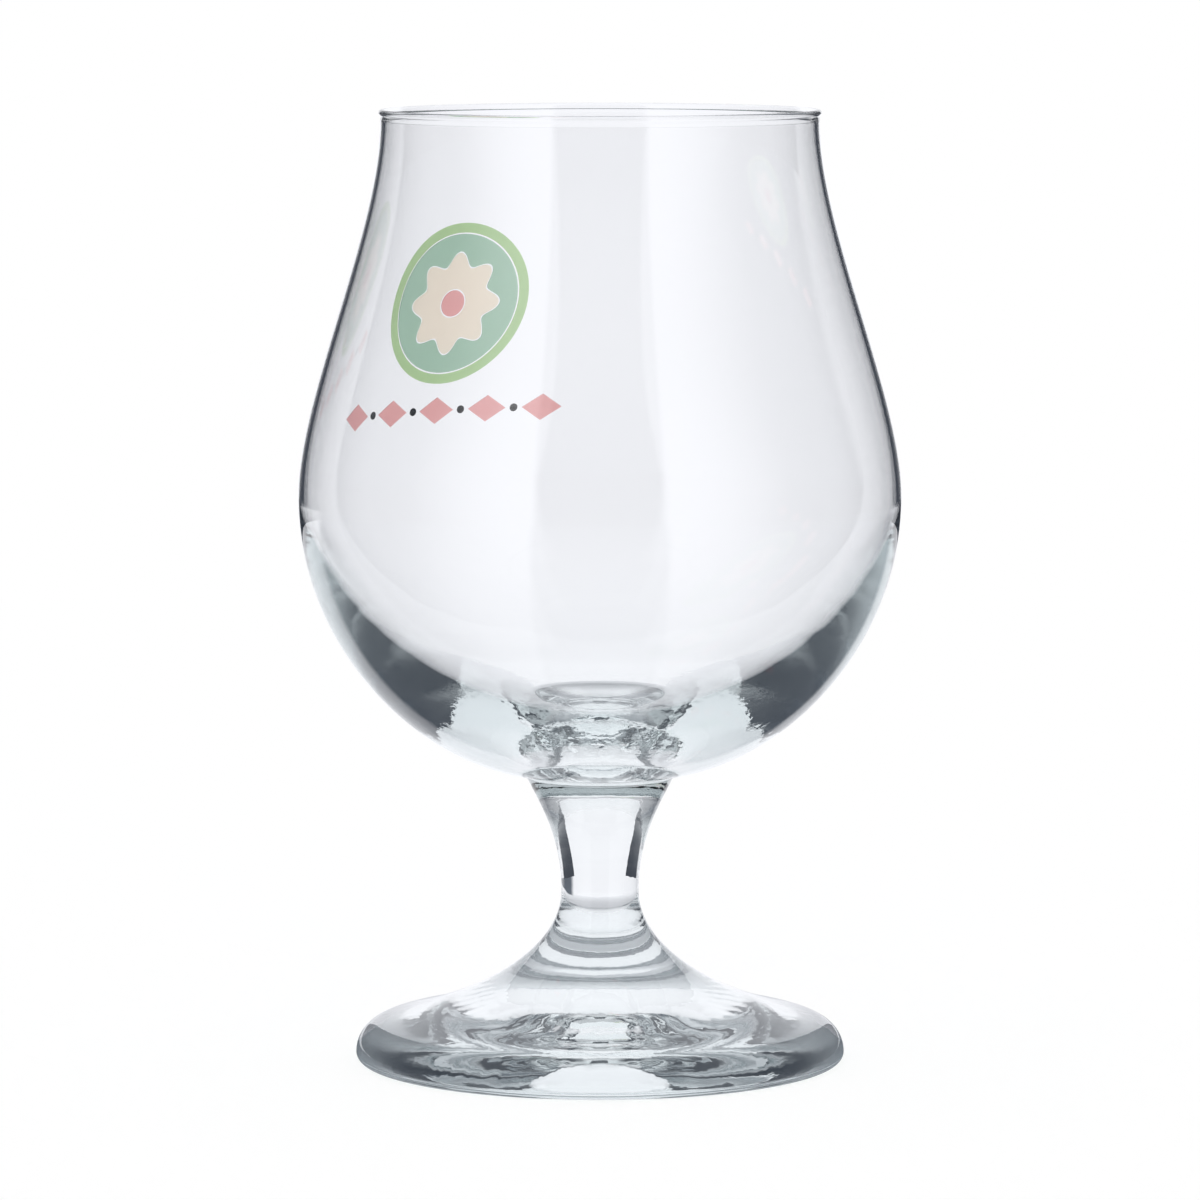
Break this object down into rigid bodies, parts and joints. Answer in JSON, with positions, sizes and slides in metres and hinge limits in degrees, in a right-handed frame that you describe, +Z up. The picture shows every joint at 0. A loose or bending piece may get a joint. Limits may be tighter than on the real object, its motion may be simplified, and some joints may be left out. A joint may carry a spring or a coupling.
{
  "type": "beer goblet",
  "caption": "Clear glass beer goblet with a wide round bowl, a beaded rim, a short solid stem, a domed foot and a printed enamel roundel, for serving and drinking beer.",
  "frame": {"origin": "centre of the ring that the foot stands on, on the table's plane", "axes": "+Z up along the glass's axis, from the foot to the rim; the picture looks along +Y"},
  "size_m": [0.093, 0.093, 0.1474],
  "materials": {
    "clear_glass": "clear soda-lime glass, fire-polished, faintly green-grey where thick",
    "light_green_enamel": "fired screen-printed enamel, satin",
    "green_enamel": "fired screen-printed enamel, satin",
    "cream_enamel": "fired screen-printed enamel, satin",
    "red_enamel": "fired screen-printed enamel, satin",
    "black_enamel": "fired screen-printed enamel, satin"
  },
  "bodies": {
    "root": {"bowl": "clear_glass", "stem": "clear_glass", "foot": "clear_glass", "print_border": "light_green_enamel", "print_field": "green_enamel", "print_rosette": "cream_enamel", "print_eye": "red_enamel", "print_lozenge_1": "red_enamel", "print_lozenge_2": "red_enamel", "print_lozenge_3": "red_enamel", "print_lozenge_4": "red_enamel", "print_lozenge_5": "red_enamel", "print_dot_1": "black_enamel", "print_dot_2": "black_enamel", "print_dot_3": "black_enamel", "print_dot_4": "black_enamel"}
  },
  "joints": []
}
